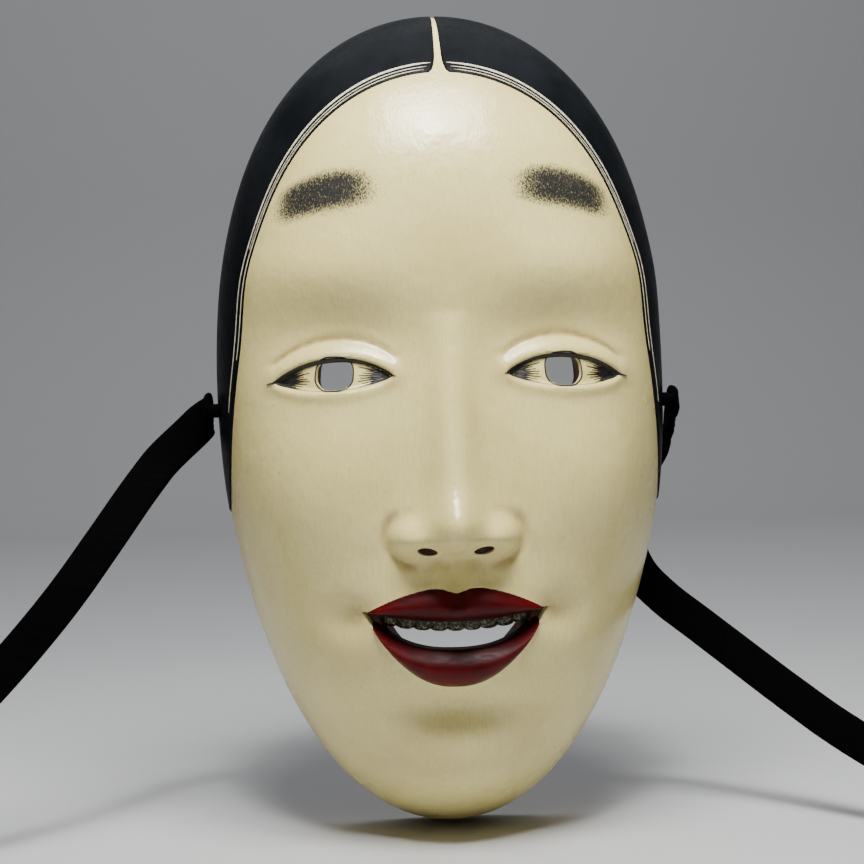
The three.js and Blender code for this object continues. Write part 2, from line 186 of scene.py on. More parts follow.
def eye(x, z):
    side = np.abs(x)
    over, under, u = lid_distance(x, z)
    near = 1 - ramp(0.92, 1.12, np.abs(u))
    wide = 1 - ramp(0.85, 1.3, np.abs(u))
    socket = -5.2 * bump(side, z, 26, 17.5, 19, 11.5)
    ball = 4.2 * bump(side, z, EYE_X, EYE_Z + 1.2, 13.5, 7.6)
    upper = 0.75 * np.exp(-(((over - 1.4) / 2.0) ** 2)) * wide
    lower = 0.45 * np.exp(-(((under - 1.0) / 1.5) ** 2)) * wide
    fold = -0.6 * np.exp(-(((over - 5.0) / 1.1) ** 2)) * (1 - ramp(0.9, 1.25, np.abs(u)))
    slit = ramp(0.6, -0.9, over) * ramp(0.6, -0.9, under) * near
    return socket + ball + upper + lower + fold - 1.3 * slit


def upper_share(x, z):
    """Where a point lies on the upper lip: 0 at the slot, 1 at the outline."""
    return (z - mouth_top(x)) / np.maximum(upper_lip_edge(x) - mouth_top(x), 0.8)


def lower_share(x, z):
    return (mouth_low(x) - z) / np.maximum(mouth_low(x) - lower_lip_edge(x), 0.8)


def mouth(x, z):
    side = np.abs(x)
    muzzle = 4.0 * bump(x, z, 0, -50, 24, 17)
    corners = -2.2 * bump(side, z, 25.5, -47.5, 5.5, 4.5)
    under_lip = -3.0 * bump(x, z, 0, -71.5, 14, 4.6)
    groove = -0.9 * bump(x, z, 0, -37.5, 2.3, 3.8) + 0.5 * bump(side, z, 3.9, -37.5, 1.8, 3.8)
    s, t = upper_share(x, z), lower_share(x, z)
    body = np.clip(1 - (side / UPPER_LIP_X) ** 2, 0, 1) ** 0.5
    roll = np.sin(math.pi * np.clip(s, -0.15, 1)) * (1.3 - 0.6 * np.clip(s, 0, 1))
    upper = np.where(s >= t, 2.2 * roll + 0.35 * np.exp(-(((s - 1.04) / 0.13) ** 2)), 0) * body
    body = np.clip(1 - (side / LOWER_LIP_X) ** 2, 0, 1) ** 0.5
    lower = np.where(t > s, 3.2 * np.sin(math.pi * np.clip(t, -0.15, 1)), 0) * body
    inward = np.exp(-3.2 * np.clip(np.maximum(s, t), -0.15, 3)) * (1 - ramp(19, 25, side))
    return muzzle + corners + under_lip + groove + upper + lower - 1.5 * inward


def face(x, z):
    """How far the carving stands out of the plain dome."""
    side = np.abs(x)
    forehead = 2.6 * bump(x, z, 0, 58, 36, 26)
    brows = 1.6 * bump(side, z, 30, 37, 20, 9)
    cheeks = 5.2 * bump(side, z, 33, -17, 17, 21)
    jowls = 1.6 * bump(side, z, 27, -58, 13, 16)
    chin = 5.6 * bump(x, z, 0, -86, 17, 12)
    return forehead + brows + cheeks + jowls + chin + nose(x, z) + eye(x, z) + mouth(x, z)


def painted_lips(x, z):
    """1 where the lip paint lies, a little inside its outline."""
    def covered(from_slot, from_outline, from_corner):
        return ramp(-0.4, 0.1, from_slot) * ramp(0.3, 0.8, from_outline) * ramp(0.3, 1.2, from_corner)

    side = np.abs(x)
    upper = covered(z - mouth_top(x), upper_lip_edge(x) - z, UPPER_LIP_X - side)
    lower = covered(mouth_low(x) - z, z - lower_lip_edge(x), LOWER_LIP_X - side)
    return np.maximum(upper, lower)


LIP_ROOM = 0.45  # how much lower the gofun lies under the lip paint


def ground_coat(x, z):
    """The gofun's relief, a little lower where the lip paint covers it."""
    return face(x, z) - LIP_ROOM * painted_lips(x, z)


def surface(radius, angle, offset, relief=face):
    """Points on, above or under the carved face, as an array of x, y, z rows."""
    radius, angle = np.broadcast_arrays(np.asarray(radius, float), angle)
    edge_x, edge_z, nx, nz = rim(angle)
    x, z = radius * edge_x, radius * edge_z
    depth = np.clip(1 - radius ** PLAN_POWER, 0, 1) ** (1 / DEPTH_POWER)
    sideways = PLAN_POWER * radius ** (PLAN_POWER - 1) / (nx * edge_x + nz * edge_z)
    out = np.stack([sideways * nx, -DEPTH_POWER * depth ** (DEPTH_POWER - 1) / DOME_DEPTH,
                    sideways * nz], -1)
    out /= np.linalg.norm(out, axis=-1, keepdims=True)
    calm = 1 - ramp(0.86, 1, share_of(radius))
    lift = offset + calm * relief(x, z)
    return np.stack([x, -DOME_DEPTH * depth, z], -1) + lift[..., None] * out


def skin_at(x, z, offset):
    return surface(*polar(np.asarray(x, float), np.asarray(z, float)), offset)


# ---------- meshes ----------

def add_object(name, data):
    obj = bpy.data.objects.new(name, data)
    bpy.context.scene.collection.objects.link(obj)
    return obj


def new_object(name, parts, smooth=True, outward=True):
    """One object from a list of (points, faces), where faces is a list of index arrays."""
    mesh = bpy.data.meshes.new(name)
    starts = np.cumsum([0] + [len(points) for points, _ in parts])
    faces = [row for start, (_, blocks) in zip(starts, parts) for block in blocks
             for row in (np.asarray(block) + start).tolist()]
    mesh.from_pydata((np.concatenate([points for points, _ in parts]) * MM).tolist(), [], faces)
    mesh.update()
    if outward:
        solid = bmesh.new()
        solid.from_mesh(mesh)
        bmesh.ops.recalc_face_normals(solid, faces=solid.faces)
        solid.to_mesh(mesh)
        solid.free()
    if smooth:
        mesh.polygons.foreach_set("use_smooth", np.ones(len(mesh.polygons), bool))
    return add_object(name, mesh)


def paint(obj, name, values):
    """A number for each point of the mesh, for the material to read."""
    layer = obj.data.attributes.new(name, "FLOAT", "POINT")
    layer.data.foreach_set("value", np.asarray(values, np.float32))


def places(obj):
    points = np.empty(3 * len(obj.data.vertices), np.float32)
    obj.data.vertices.foreach_get("co", points)
    return points.reshape(-1, 3).T.astype(float) / MM


def crowded(count, *peaks):
    """Places from -1 to 1, closer together around each (middle, width, strength)."""
    t = np.linspace(-1, 1, 2001)
    density = 1 + sum(strength * np.exp(-(((t - middle) / width) ** 2))
                      for middle, width, strength in peaks)
    total = np.concatenate([[0], np.cumsum((density[1:] + density[:-1]) / 2)])
    return np.interp(np.linspace(0, total[-1], count + 1), total, t)


def square_disc(across, up):
    """A square grid turned into a disc: the share of the radius and the angle of each node."""
    u, v = np.meshgrid(across, up)
    across, up = u * np.sqrt(1 - v * v / 2), v * np.sqrt(1 - u * u / 2)
    return np.minimum(np.hypot(across, up), 1), np.arctan2(across, up)


def grid_faces(columns, rows, start=0, flip=False):
    j, i = np.meshgrid(np.arange(rows), np.arange(columns), indexing="ij")
    a = (j * (columns + 1) + i + start).ravel()
    quads = np.stack([a, a + 1, a + columns + 2, a + columns + 1], 1)
    return quads[:, ::-1] if flip else quads


def grid_loop(columns, rows):
    """The grid's edge, anticlockwise."""
    wide = columns + 1
    return np.concatenate([
        np.arange(columns), columns + wide * np.arange(rows),
        rows * wide + np.arange(columns, 0, -1), wide * np.arange(rows, 0, -1)])


def dome_solid(name, across, up, offset, rim_y, back_y, relief=face):
    """A closed body between a sheet over the face and the plane y = back_y."""
    columns, rows = len(across) - 1, len(up) - 1
    share, angle = square_disc(across, up)
    points = surface(radius_of(share), angle, offset, relief)
    points[..., 1] = np.minimum(points[..., 1], rim_y)
    points[share > 1 - 1e-9, 1] = rim_y
    points = points.reshape(-1, 3)
    loop = grid_loop(columns, rows)
    following = np.roll(loop, -1)
    back = points[loop].copy()
    back[:, 1] = back_y
    ring = len(points) + np.arange(len(loop))
    next_ring = np.roll(ring, -1)
    hub = np.full(len(loop), len(points) + len(loop))
    faces = [grid_faces(columns, rows), np.stack([following, loop, ring, next_ring], 1),
             np.stack([next_ring, ring, hub], 1)]
    points = np.concatenate([points, back, [[0, back_y, 0]]])
    return new_object(name, [(points, faces)], outward=False)


def tunnel(name, x, z, front, back, spread=(1, 1), rise=0.0):
    """A cutter through the mask, from an anticlockwise outline; it widens and rises inward."""
    near, far = skin_at(x, z, front), skin_at(x, z, back)
    far = far.mean(0) + (far - far.mean(0)) * (spread[0], 1, spread[1]) + (0, 0, rise)
    near = near - (0, 0, rise * front / (front - back))
    count = len(x)
    k = np.arange(count)
    following = np.roll(k, -1)
    points = np.concatenate([near, far, near.mean(0)[None], far.mean(0)[None]])
    faces = [np.stack([following, k, k + count, following + count], 1),
             np.stack([k, following, np.full(count, 2 * count)], 1),
             np.stack([following + count, k + count, np.full(count, 2 * count + 1)], 1)]
    return new_object(name, [(points, faces)], smooth=False, outward=False)


def closed_sheet(front, back):
    """A thin closed body between two grids of points, rows by columns by 3."""
    rows, columns = front.shape[0] - 1, front.shape[1] - 1
    count = (rows + 1) * (columns + 1)
    loop = grid_loop(columns, rows)
    following = np.roll(loop, -1)
    faces = [grid_faces(columns, rows), grid_faces(columns, rows, count, flip=True),
             np.stack([following, loop, loop + count, following + count], 1)]
    return np.concatenate([front.reshape(-1, 3), back.reshape(-1, 3)]), faces


def unit(vectors):
    return vectors / np.linalg.norm(vectors, axis=-1, keepdims=True)


def circle(count):
    """Angles all the way round."""
    return np.linspace(0, 2 * math.pi, count, endpoint=False)


def sweep(path, wide, thin, section, closed=False):
    """A tube along a path: each ring is the section's (wide, thin) offsets, alike or one set a ring."""
    rings = path[:, None] + section[..., :1] * wide[:, None] + section[..., 1:] * thin[:, None]
    count, sides = rings.shape[:2]
    ring = np.arange(count if closed else count - 1)[:, None] * sides
    k = np.arange(sides)[None, :]
    after, step = (k + 1) % sides, ring + sides
    if closed:
        step = step % (count * sides)
    quads = np.stack([ring + k, ring + after, step + after, step + k], -1).reshape(-1, 4)
    points = rings.reshape(-1, 3)
    if closed:
        return points, [quads]
    first, last = count * sides, (count - 1) * sides
    k, after = k[0], after[0]
    caps = [np.stack([after, k, np.full(sides, first)], 1),
            np.stack([last + k, last + after, np.full(sides, first + 1)], 1)]
    return np.concatenate([points, rings[0].mean(0)[None], rings[-1].mean(0)[None]]), [quads, *caps]


def carve(obj, cutter):
    mod = obj.modifiers.new("carve", "BOOLEAN")
    mod.solver = "MANIFOLD"
    mod.operation = "DIFFERENCE"
    mod.object = cutter
    bpy.context.view_layer.update()
    depsgraph = bpy.context.evaluated_depsgraph_get()
    result = bpy.data.meshes.new_from_object(obj.evaluated_get(depsgraph))
    obj.modifiers.remove(mod)
    old = obj.data
    obj.data = result
    bpy.data.meshes.remove(old)


def discard(*objects):
    for obj in objects:
        bpy.data.objects.remove(obj)


# ---------- materials ----------

def new_material(name, colour, roughness, specular=0.5):
    material = bpy.data.materials.new(name)
    material.use_nodes = True
    shader = material.node_tree.nodes["Principled BSDF"]
    shader.inputs["Base Color"].default_value = (*colour, 1)
    shader.inputs["Roughness"].default_value = roughness
    shader.inputs["Specular IOR Level"].default_value = specular
    return material


def node(material, kind, inputs=None, **settings):
    """A shader node; an input is a number, a colour or another node's socket."""
    made = material.node_tree.nodes.new("ShaderNode" + kind)
    for name, value in settings.items():
        setattr(made, name, value)
    for name, value in (inputs or {}).items():
        if isinstance(value, bpy.types.NodeSocket):
            material.node_tree.links.new(value, made.inputs[name])
        else:
            made.inputs[name].default_value = value
    return made


def noise(material, scale, detail, stretch=(1, 1, 1)):
    """Noise with scale grains a metre, drawn out along an axis with a factor below 1."""
    place = node(material, "TexCoord").outputs["Object"]
    mapped = node(material, "Mapping", {"Vector": place, "Scale": [scale * s for s in stretch]})
    made = node(material, "TexNoise", {"Vector": mapped.outputs[0], "Scale": 1.0, "Detail": detail})
    return made.outputs["Fac"]


def spread_out(material, value, low, high, bottom=0.0, top=1.0):
    """A value between low and high, mapped smoothly onto bottom to top."""
    inputs = {"Value": value, "From Min": low, "From Max": high, "To Min": bottom, "To Max": top}
    return node(material, "MapRange", inputs, interpolation_type="SMOOTHSTEP").outputs[0]


def math_node(material, operation, a, b):
    return node(material, "Math", {0: a, 1: b}, operation=operation).outputs[0]


def blend(material, factor, a, b):
    return node(material, "Mix", {0: factor, 6: a, 7: b}, data_type="RGBA").outputs[2]


def attribute(material, name):
    return node(material, "Attribute", attribute_name=name).outputs["Fac"]


def finish(material, colour, roughness=None, height=None, bump_height=0.0):
    """Joins the colour, and the roughness and relief if there are any, to the shader."""
    shader = material.node_tree.nodes["Principled BSDF"]
    material.node_tree.links.new(colour, shader.inputs["Base Color"])
    if roughness is not None:
        material.node_tree.links.new(roughness, shader.inputs["Roughness"])
    if height is not None:
        raised = node(material, "Bump", {"Height": height, "Strength": 1.0, "Distance": bump_height})
        material.node_tree.links.new(raised.outputs[0], shader.inputs["Normal"])
    return material


def make_gofun():
    """Ivory gofun with brush streaks, age stains in the creases and stippled brows."""
    look = new_material("gofun", (0.8, 0.75, 0.56), 0.32)
    cloud = noise(look, 38, 3)
    streak = noise(look, 1500, 2, (1, 1, 0.16))
    pore = noise(look, 1700, 1)
    clouded = spread_out(look, cloud, 0.35, 0.68)
    ivory = blend(look, clouded, (0.87, 0.75, 0.31, 1), (0.79, 0.665, 0.26, 1))
    ivory = blend(look, spread_out(look, streak, 0.3, 0.75, 0, 0.35), ivory, (0.71, 0.58, 0.24, 1))
    stain = attribute(look, "stain")
    mottle = spread_out(look, noise(look, 420, 4), 0.25, 0.7, 0.45, 1)
    age = math_node(look, "MULTIPLY", stain, mottle)
    ivory = blend(look, age, ivory, (0.40, 0.25, 0.085, 1))
    ivory = blend(look, spread_out(look, pore, 0.735, 0.8, 0, 0.55), ivory, (0.22, 0.15, 0.08, 1))
    grain = noise(look, 3400, 3, (1, 1, 0.5))
    brow = attribute(look, "brow")
    ivory = blend(look, spread_out(look, brow, 0.24, 0.6, 0, 0.62), ivory, (0.06, 0.06, 0.062, 1))
    ink = math_node(look, "SUBTRACT", brow, grain)
    ivory = blend(look, spread_out(look, ink, -0.2, 0.12, 0, 0.95), ivory, (0.010, 0.012, 0.018, 1))
    rough = spread_out(look, cloud, 0.3, 0.7, 0.21, 0.31)
    waves = math_node(look, "ADD", noise(look, 260, 2), math_node(look, "MULTIPLY", streak, 0.35))
    return finish(look, ivory, rough, waves, 0.00016)


def make_hair_paint():
    look = new_material("hair_paint", (0.006, 0.007, 0.008), 0.35, specular=0.03)
    cloud = noise(look, 60, 3)
    streak = noise(look, 900, 2, (1, 1, 0.3))
    clouded = spread_out(look, cloud, 0.3, 0.7)
    colour = blend(look, clouded, (0.004, 0.005, 0.006, 1), (0.008, 0.009, 0.011, 1))
    rough = spread_out(look, streak, 0.3, 0.7, 0.33, 0.46)
    return finish(look, colour, rough, streak, 0.00003)


def make_strand_paint():
    look = new_material("strand_paint", (0.74, 0.69, 0.5), 0.35)
    wear = spread_out(look, noise(look, 900, 2), 0.35, 0.65)
    return finish(look, blend(look, wear, (0.76, 0.71, 0.53, 1), (0.5, 0.46, 0.33, 1)))


def make_ink():
    look = new_material("ink", (0.006, 0.006, 0.006), 0.5)
    wear = spread_out(look, noise(look, 1500, 2), 0.4, 0.75)
    return finish(look, blend(look, wear, (0.004, 0.004, 0.004, 1), (0.03, 0.025, 0.018, 1)))


def make_lip_paint():
    """Crimson with painted shade towards the slot and inside it, and a little darker along the outline.
    """
    look = new_material("lip_paint", (0.08, 0.001, 0.003), 0.4, specular=0.18)
    cloud = spread_out(look, noise(look, 260, 3), 0.3, 0.7)
    red = blend(look, cloud, (0.09, 0.001, 0.0025, 1), (0.06, 0.0007, 0.0018, 1))
    # painted shade: the red turns near black towards the mouth slot and inside it, and a little darker
    # along the outline
    red = blend(look, attribute(look, "painted_shade_and_outline"), red, (0.012, 0.0008, 0.0015, 1))
    streak = noise(look, 1200, 2, (0.3, 1, 1))
    return finish(look, red, spread_out(look, streak, 0.3, 0.7, 0.36, 0.5), streak, 0.00005)


def make_tooth_paint():
    look = new_material("tooth_paint", (0.012, 0.01, 0.008), 0.35)
    specks = spread_out(look, noise(look, 1900, 3), 0.5, 0.62, 0, 0.9)
    colour = blend(look, specks, (0.005, 0.005, 0.004, 1), (0.23, 0.185, 0.07, 1))
    return finish(look, colour, spread_out(look, noise(look, 900, 2), 0.3, 0.7, 0.25, 0.5))


def make_wood():
    """Cypress with a dark stain that is rubbed thin on the ridges between the gouge marks."""
    look = new_material("cypress", (0.24, 0.13, 0.065), 0.55)
    grain = noise(look, 700, 4, (1, 1, 0.05))
    rings = noise(look, 110, 2, (1, 1, 0.06))
    grained = spread_out(look, grain, 0.32, 0.7)
    colour = blend(look, grained, (0.21, 0.105, 0.048, 1), (0.1, 0.046, 0.021, 1))
    colour = blend(look, spread_out(look, rings, 0.42, 0.62, 0, 0.45), colour, (0.075, 0.034, 0.017, 1))
    colour = blend(look, attribute(look, "ridge"), colour, (0.33, 0.185, 0.09, 1))
    stain = spread_out(look, noise(look, 45, 4), 0.45, 0.75, 0, 0.55)
    colour = blend(look, stain, colour, (0.045, 0.022, 0.012, 1))
    return finish(look, colour, spread_out(look, grain, 0.3, 0.7, 0.42, 0.65), grain, 0.00012)


def make_braid(name, shade):
    look = new_material(name, (shade, shade, shade * 1.1), 0.85, specular=0.03)
    yarn = noise(look, 2600, 2, (1, 1, 0.5))
    dark = (shade * 0.6, shade * 0.6, shade * 0.66, 1)
    light = (shade * 1.9, shade * 1.9, shade * 2.0, 1)
    colour = blend(look, spread_out(look, yarn, 0.35, 0.7), dark, light)
    return finish(look, colour, spread_out(look, yarn, 0.3, 0.7, 0.75, 0.95), yarn, 0.00012)


def dress(obj, material, slot, *nodes):
    obj.data.materials.clear()
    obj.data.materials.append(material)
    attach(obj, "root")
    if nodes:
        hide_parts(*nodes)
    return obj


# ---------- camera, light and floor ----------

# lengths in metres
CAMERA_DISTANCE = 0.462  # in front of the rim plane
CAMERA_X = -0.026
CAMERA_Z = 0.004
AIM_RIGHT, AIM_DOWN = 0.0236, 0.0073  # from straight ahead, at the rim plane
PICTURE = 864
FOCAL_PIXELS = 1700
LEAN = math.radians(1.5)

FLOOR_GAP = 0.0004  # between the ground and the paper
FLOOR_FRONT, FLOOR_BACK, FLOOR_SIDE = -1.2, 1.1, 2.4
BEND_RADIUS, BEND_STEPS, FLOOR_TOP = 0.35, 12, 1.8
WORLD_STRENGTH = 0.044
# name, place, what it points at, size, watts and colour
LIGHTS = (
    ("ceiling", (0.0, -0.18, 0.33), (0, -0.04, 0.03), (0.2, 0.12), 2.7, (1, 0.99, 0.96)),
    ("window", (-0.03, -0.56, 0.9), (0, -0.03, 0), (0.12, 0.12), 4.0, (0.98, 0.985, 1)),
    ("side", (-0.9, -0.7, 0.3), (0, 0, 0), (0.7, 0.7), 0.14, (0.93, 0.97, 1)),
    ("overhead", (0, 0.6, 1.3), (0, 0.6, 0), (1.6, 1.0), 6.9, (0.99, 0.99, 1)),
)


def aim(obj, target, roll=0.0):
    direction = Vector(target) - obj.location
    obj.rotation_euler = direction.to_track_quat("-Z", "Y").to_euler()
    obj.rotation_euler.rotate_axis("Z", roll)


def make_camera():
    data = bpy.data.cameras.new("camera")
    data.sensor_width = 36.0
    data.lens = data.sensor_width * FOCAL_PIXELS / PICTURE
    data.clip_start, data.clip_end = 0.01, 20
    camera = add_object("camera", data)
    camera.location = (CAMERA_X, -CAMERA_DISTANCE, CAMERA_Z)
    aim(camera, (CAMERA_X + AIM_RIGHT, 0, CAMERA_Z - AIM_DOWN), roll=-LEAN)
    bpy.context.scene.camera = camera


def area_light(name, place, target, size, power, colour):
    data = bpy.data.lights.new(name, "AREA")
    data.shape = "RECTANGLE"
    data.size, data.size_y = size
    data.energy = power
    data.color = colour
    light = add_object(name, data)
    light.location = place
    aim(light, target)


def make_floor():
    """Paper that lies flat and bends up behind the mask."""
    floor = bpy.data.meshes.new("floor")
    ground = GROUND_Z * MM - FLOOR_GAP
    profile = [(FLOOR_FRONT, ground), (FLOOR_BACK, ground)]
    for k in range(1, BEND_STEPS + 1):
        turn = math.pi / 2 * k / BEND_STEPS
        y = FLOOR_BACK + BEND_RADIUS * math.sin(turn)
        profile.append((y, ground + BEND_RADIUS * (1 - math.cos(turn))))
    profile.append((FLOOR_BACK + BEND_RADIUS, FLOOR_TOP))
    verts = [(x, y, z) for y, z in profile for x in (-FLOOR_SIDE, FLOOR_SIDE)]
    faces = [(2 * k, 2 * k + 1, 2 * k + 3, 2 * k + 2) for k in range(len(profile) - 1)]
    floor.from_pydata(verts, [], faces)
    floor.polygons.foreach_set("use_smooth", [True] * len(faces))
    obj = add_object("floor", floor)
    floor.materials.append(new_material("floor_paper", (0.62, 0.63, 0.645), 0.7))


def make_world():
    world = bpy.data.worlds.new("studio")
    world.use_nodes = True
    background = world.node_tree.nodes["Background"]
    background.inputs["Color"].default_value = (0.80, 0.83, 0.86, 1)
    background.inputs["Strength"].default_value = WORLD_STRENGTH
    bpy.context.scene.world = world


make_camera()
make_floor()
make_world()
for light in LIGHTS:
    area_light(*light)

# ---------- cords ----------

SIDES = (("right", -1), ("left", 1))

# The free stretch of each cord, as in the part, from the hole to where its hank begins.
ROUTES = {
    "right": [
        (-61.6, -12, 4), (-63.6, -10.6, 4), (-64.3, -7.4, 3.4), (-66.8, -4.8, 1),
        (-73, -6.4, -6.4), (-80.6, -12, -16.6), (-89, -19.4, -29), (-98, -26, -41.8),
        (-108, -30.5, -54), (-120, -36, -67), (-133, -41.5, -79.5), (-148, -47, -91),
        (-165, -51, -98.7), (-184, -53.6, -101.7), (-205, -55, LYING_Z), (-228, -54.4, LYING_Z),
        (-250, -50, LYING_Z),
    ],
    "left": [
        (61.6, -12, 4), (63.5, -10.5, 3.4), (64.3, -7, 1.4), (64.4, -2.4, -1.8),
        (62.9, 1.6, -4.8), (59, 3.2, -8.8), (54.9, 3.4, -14.6), (52.2, 3.4, -21.4),
        (51, 3.4, -29), (51.2, 3.4, -36.4), (54.2, 3.2, -43.6), (60.6, 2.2, -50.6),
        (69.4, -0.8, -57.8), (79.4, -6, -66), (90.4, -13.2, -75), (102.4, -22.4, -84.2),
        (115.4, -32.4, -92), (130, -42, -97.6), (146, -49.6, -100.8), (163, -53.8, LYING_Z),
        (184, -55.4, LYING_Z), (206, -55.8, LYING_Z), (229, -54.6, LYING_Z), (250, -50, LYING_Z),
    ],
}
LYING_POINTS = 3  # of each route, at its end
TWIST = {"right": (3.5, 12.0), "left": (12.0, 28.0)}  # where the braid turns its face to the front

HANK_X, HANK_Y = 202.0, -22.0
HANK_REACH, HANK_WAIST, HANK_BELLY, HANK_PITCH = 62.0, 4.0, 36.0, 3.6
HANK_START, HANK_STOP = -0.35, 2.9 * math.pi
HANK_TUCK = 7.0  # how far the end of the braid turns into the bow
TUCK_START = 2.25 * math.pi
HUG = 2.4  # the flat braid lies this much closer to the mask's side than the part's round tube
RING_STEP = 0.6
BRAID_PITCH, BRAID_RIB = 3.0, 0.16  # the woven rib's spacing and height

STOP_KNOT_X = 47.2
NECK_X = (47.0, 61.8)  # where the stop knot's neck begins and ends
TAPE_TURNS = (-2.1, 0.0, 2.1)  # where they lie along the bow's waist
TAPE_SECTION = np.array([
    (-1, -0.2), (-0.7, -0.28), (0.7, -0.28), (1, -0.2), (1, 0.2), (0.7, 0.3), (-0.7, 0.3), (-1, 0.2)])


def hank_points(side):
    """The middle line of the bow that holds the rest of the braid, from its outside inward."""
    turn = np.arange(HANK_START, HANK_STOP + 0.01, math.pi / 14)
    turn[-1] = HANK_STOP
    out = HANK_PITCH * 1.5 * (1 - turn / HANK_STOP) - HANK_TUCK * ramp(TUCK_START, HANK_STOP, turn)
    x = side * (HANK_X + (HANK_REACH + out) * np.cos(turn))
    y = HANK_Y + (HANK_WAIST + out + HANK_BELLY * np.cos(turn) ** 2) * np.sin(turn)
    return np.stack([x, y, np.full_like(x, LYING_Z)], 1)


def smooth_curve(points, step):
    """A centripetal Catmull-Rom curve through the points, as points an even step apart."""
    knots = np.concatenate([[2 * points[0] - points[1]], points, [2 * points[-1] - points[-2]]])
    t = np.linspace(0, 1, 40, endpoint=False)[:, None]
    pieces = []
    for k in range(1, len(knots) - 2):
        before, start, end, after = knots[k - 1:k + 3]
        d0, d1, d2 = (math.sqrt(np.linalg.norm(v)) for v in (start - before, end - start, after - end))
        leave = d1 * ((start - before) / d0 - (end - before) / (d0 + d1) + (end - start) / d1)
        arrive = d1 * ((end - start) / d1 - (after - start) / (d1 + d2) + (after - end) / d2)
        pieces.append((2 * t ** 3 - 3 * t ** 2 + 1) * start + (t ** 3 - 2 * t ** 2 + t) * leave
                      + (3 * t ** 2 - 2 * t ** 3) * end + (t ** 3 - t ** 2) * arrive)
    line = np.concatenate([*pieces, [knots[-2]]])
    along = np.concatenate([[0], np.cumsum(np.linalg.norm(np.diff(line, axis=0), axis=1))])
    even = np.linspace(0, along[-1], round(along[-1] / step) + 1)
    return np.stack([np.interp(even, along, line[:, k]) for k in range(3)], 1), even


def braid_frames(name, side, line, along):
    """The directions of the braid's width and thickness: flat on the mask, then facing the front."""
    ahead = unit(np.gradient(line, axis=0))
    turn = math.pi / 2 * ramp(*TWIST[name], along)[:, None]
    out = np.cos(turn) * np.array([-side, 0.0, 0.0]) + np.sin(turn) * np.array([0.0, 1.0, 0.0])
    wide = np.cross(ahead, unit(out - (out * ahead).sum(1)[:, None] * ahead))
    lying_from = np.linalg.norm(line - np.array(ROUTES[name][-LYING_POINTS]), axis=1).argmin()
    wide[lying_from:] = (0, 0, side)
    return unit(wide), unit(np.cross(wide, ahead))


def braid_section(along):
    """A flat section with woven ridges on both faces, for each point along the braid."""
    q = np.sin(np.linspace(-1.32, 1.32, 17))
    flat = 0.5 * CORD_THICK * (1 - np.abs(q) ** 6) ** 0.5
    wide = np.concatenate([q, [1.0], q[::-1], [-1.0]]) * CORD_WIDTH / 2
    thin = np.concatenate([flat, [0.0], -flat[::-1], [0.0]])
    free = ramp(-1.5, 3.2, along)[:, None]
    weave = np.cos(math.pi * (along[:, None] + 0.8 * np.abs(wide)) / BRAID_PITCH) ** 2
    thin = thin * (2.3 - 1.3 * free) + np.sign(thin) * BRAID_RIB * weave * free
    return np.stack([wide * (0.46 + 0.54 * free), thin], -1)


def trefoil(scale, axes, centre, half):
    """A tight overhand knot of a flattened strand, its flat side along the third axis."""
    t = circle(120)
    x, y, z = np.sin(t) + 2 * np.sin(2 * t), np.cos(t) - 2 * np.cos(2 * t), -1.15 * np.sin(3 * t)
    path = scale * np.stack([x, y, z], 1) @ np.array(axes, float)
    ahead = unit(np.roll(path, -1, 0) - np.roll(path, 1, 0))
    outward = unit(path - (path * ahead).sum(1)[:, None] * ahead)
    turn = circle(16)
    ridge = 1 + 0.05 * np.cos(30 * t)[:, None] * np.cos(2 * turn)[None, :]
    section = np.stack([half[0] * np.cos(turn) * ridge, half[1] * np.sin(turn) * ridge], -1)
    return sweep(path + np.array(centre), np.cross(outward, ahead), outward, section, closed=True)


def stub(start, end, halves, wide):
    """A short piece of cord between two points, with its half width and half thickness at each end."""
    t = np.linspace(0, 1, 14)[:, None]
    start, end = np.array(start, float), np.array(end, float)
    path = start + (end - start) * t
    ahead = unit(np.broadcast_to(end - start, path.shape))
    wide = unit(np.broadcast_to(np.array(wide, float), path.shape))
    turn = circle(16)
    shape = np.stack([np.cos(turn), np.sin(turn)], -1)[None]
    size = np.array(halves[0]) + (np.array(halves[1]) - np.array(halves[0])) * t
    return sweep(path, wide, np.cross(wide, ahead), shape * size[:, None, :])


def make_cord(name, side):
    points = np.concatenate([np.array(ROUTES[name], float), hank_points(side)])
    line, along = smooth_curve(points, RING_STEP)
    line[:, 0] -= side * HUG * ramp(0, 4, along) * (1 - ramp(9, 26, along))
    wide, thin = braid_frames(name, side, line, along)
    braided = sweep(line, wide, thin, braid_section(along))
    return new_object(f"braided_cord_{name}", [braided]), line, along[-1]


def make_stop_knot(name, side):
    """The knot behind the wall, with its neck in the hole."""
    hole = np.array([0, CORD_HOLE_Y, CORD_HOLE_Z])
    middle = hole + (side * STOP_KNOT_X, 0, 0)
    knot = trefoil(1.25, [(0, 0, 1), (0, 1, 0), (1, 0, 0)], middle, (2.1, 1.7))
    inner, outer = (hole + (side * x, 0, 0) for x in NECK_X)
    neck = stub(inner, outer, ((2.4, 1.9), (2.3, 1.8)), (0, 1, 0))
    start, end = hole + (side * STOP_KNOT_X, -3, 1), hole + (side * 42.5, -9.5, -6)
    tail = stub(start, end, ((2.2, 1.2), (2.8, 0.7)), (0, 1, -1))
    return new_object(f"stop_knot_{name}", [knot, neck, tail])


def make_end_knot(name, side, end):
    """The knot at the braid's far end, flat on the ground, with a short tail."""
    centre = np.array([end[0] + side * 1.2, end[1] - 4.0, GROUND_Z + 3.9])
    knot = trefoil(1.3, np.eye(3), centre, (2.2, 1.6))
    neck = stub(end, centre, ((2.4, 0.9), (2.2, 1.5)), (0, 0, 1))
    tail = stub(centre, centre + (side * 3, -9.5, -1.8), ((2.2, 1.3), (3.4, 0.8)), (1, 0, 0))
    return new_object(f"end_knot_{name}", [knot, neck, tail])


